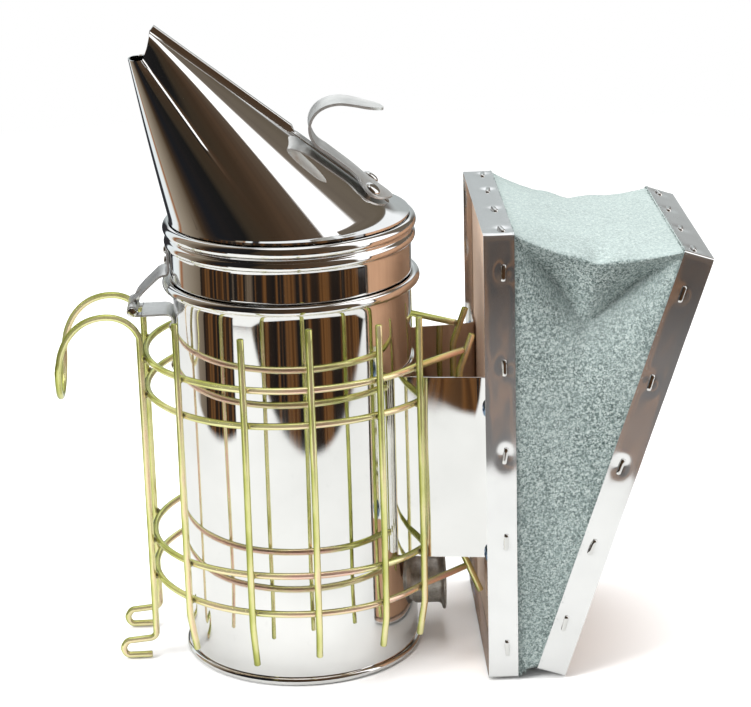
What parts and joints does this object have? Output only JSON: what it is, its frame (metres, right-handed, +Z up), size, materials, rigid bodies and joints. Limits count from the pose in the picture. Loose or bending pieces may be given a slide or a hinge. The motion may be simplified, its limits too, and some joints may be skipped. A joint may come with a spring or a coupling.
{
  "type": "bee smoker",
  "caption": "Bee smoker: polished steel fire can with a hinged cone lid and hook handle, wire heat guard with hanging hook, and leather bellows on a bracket.",
  "frame": {"origin": "centre of the can's underside, on the plane it stands on", "axes": "+Z up, +X from the can towards the bellows, +Y to the far side; the lid hinge and the hanging hook are on the -X side"},
  "size_m": [0.2705, 0.1348, 0.2736],
  "materials": {
    "polished_steel": "mirror-polished stainless sheet",
    "satin_steel": "satin",
    "dull_steel": "tarnished, dull",
    "yellow_zinc_wire": "iridescent yellow zinc plate on steel wire",
    "blue_zinc": "blue zinc plate",
    "board_wood": "planed, bare",
    "suede": "grey-green suede",
    "flap_hide": "bare hide"
  },
  "bodies": {
    "base": {"can_body": "polished_steel", "can_base": "polished_steel", "air_inlet_tube": "dull_steel", "fire_grate": "dull_steel", "hinge_leaf_can": "satin_steel", "hinge_pin": "satin_steel", "can_leaf_rivet_1": "satin_steel", "can_leaf_rivet_2": "satin_steel", "bellows_bracket": "polished_steel", "bracket_rivet_1": "satin_steel", "bracket_rivet_2": "satin_steel", "bracket_bolt_1": "blue_zinc", "bracket_bolt_2": "blue_zinc", "bracket_bolt_3": "blue_zinc", "bracket_bolt_4": "blue_zinc", "bracket_nut_1": "blue_zinc", "bracket_nut_2": "blue_zinc", "bracket_nut_3": "blue_zinc", "bracket_nut_4": "blue_zinc", "front_board": "board_wood", "front_trim_band": "polished_steel", "bellows_leather": "suede", "bellows_spring": "dull_steel", "guard_ring_1": "yellow_zinc_wire", "guard_ring_2": "yellow_zinc_wire", "guard_ring_3": "yellow_zinc_wire", "guard_ring_4": "yellow_zinc_wire", "guard_upright_01": "yellow_zinc_wire", "guard_upright_02": "yellow_zinc_wire", "guard_upright_03": "yellow_zinc_wire", "guard_upright_04": "yellow_zinc_wire", "guard_upright_05": "yellow_zinc_wire", "guard_upright_06": "yellow_zinc_wire", "guard_upright_07": "yellow_zinc_wire", "guard_upright_08": "yellow_zinc_wire", "guard_upright_09": "yellow_zinc_wire", "guard_upright_10": "yellow_zinc_wire", "guard_stay_1": "yellow_zinc_wire", "guard_stay_2": "yellow_zinc_wire", "guard_hook": "yellow_zinc_wire"},
    "lid": {"lid_collar": "polished_steel", "lid_hood": "polished_steel", "hook_handle": "satin_steel", "handle_rivet_1": "satin_steel", "handle_rivet_2": "satin_steel", "hinge_leaf_lid": "satin_steel", "lid_leaf_rivet_1": "satin_steel", "lid_leaf_rivet_2": "satin_steel"},
    "bellows_rear": {"rear_board": "board_wood", "rear_trim_band": "polished_steel", "valve_strip": "dull_steel", "valve_tack_1": "dull_steel", "valve_tack_2": "dull_steel"},
    "valve": {"valve_flap": "flap_hide"}
  },
  "joints": [
    {"name": "lid_hinge", "type": "hinge", "parent": "base", "child": "lid", "pos_m": [-0.067, 0, 0.155], "axis": [0, -1, 0], "range_deg": [0, 100]},
    {"name": "bellows_squeeze", "type": "hinge", "parent": "base", "child": "bellows_rear", "pos_m": [0.0934, 0, 0.003], "axis": [0, -1, 0], "range_deg": [0, 15], "stiffness_Nm_per_rad": 6, "deforming": ["bellows_leather", "bellows_spring"]},
    {"name": "valve_flap_hinge", "type": "hinge", "parent": "bellows_rear", "child": "valve", "pos_m": [0.12071, 0, 0.07611], "axis": [0, 1, 0], "range_deg": [0, 12]}
  ]
}
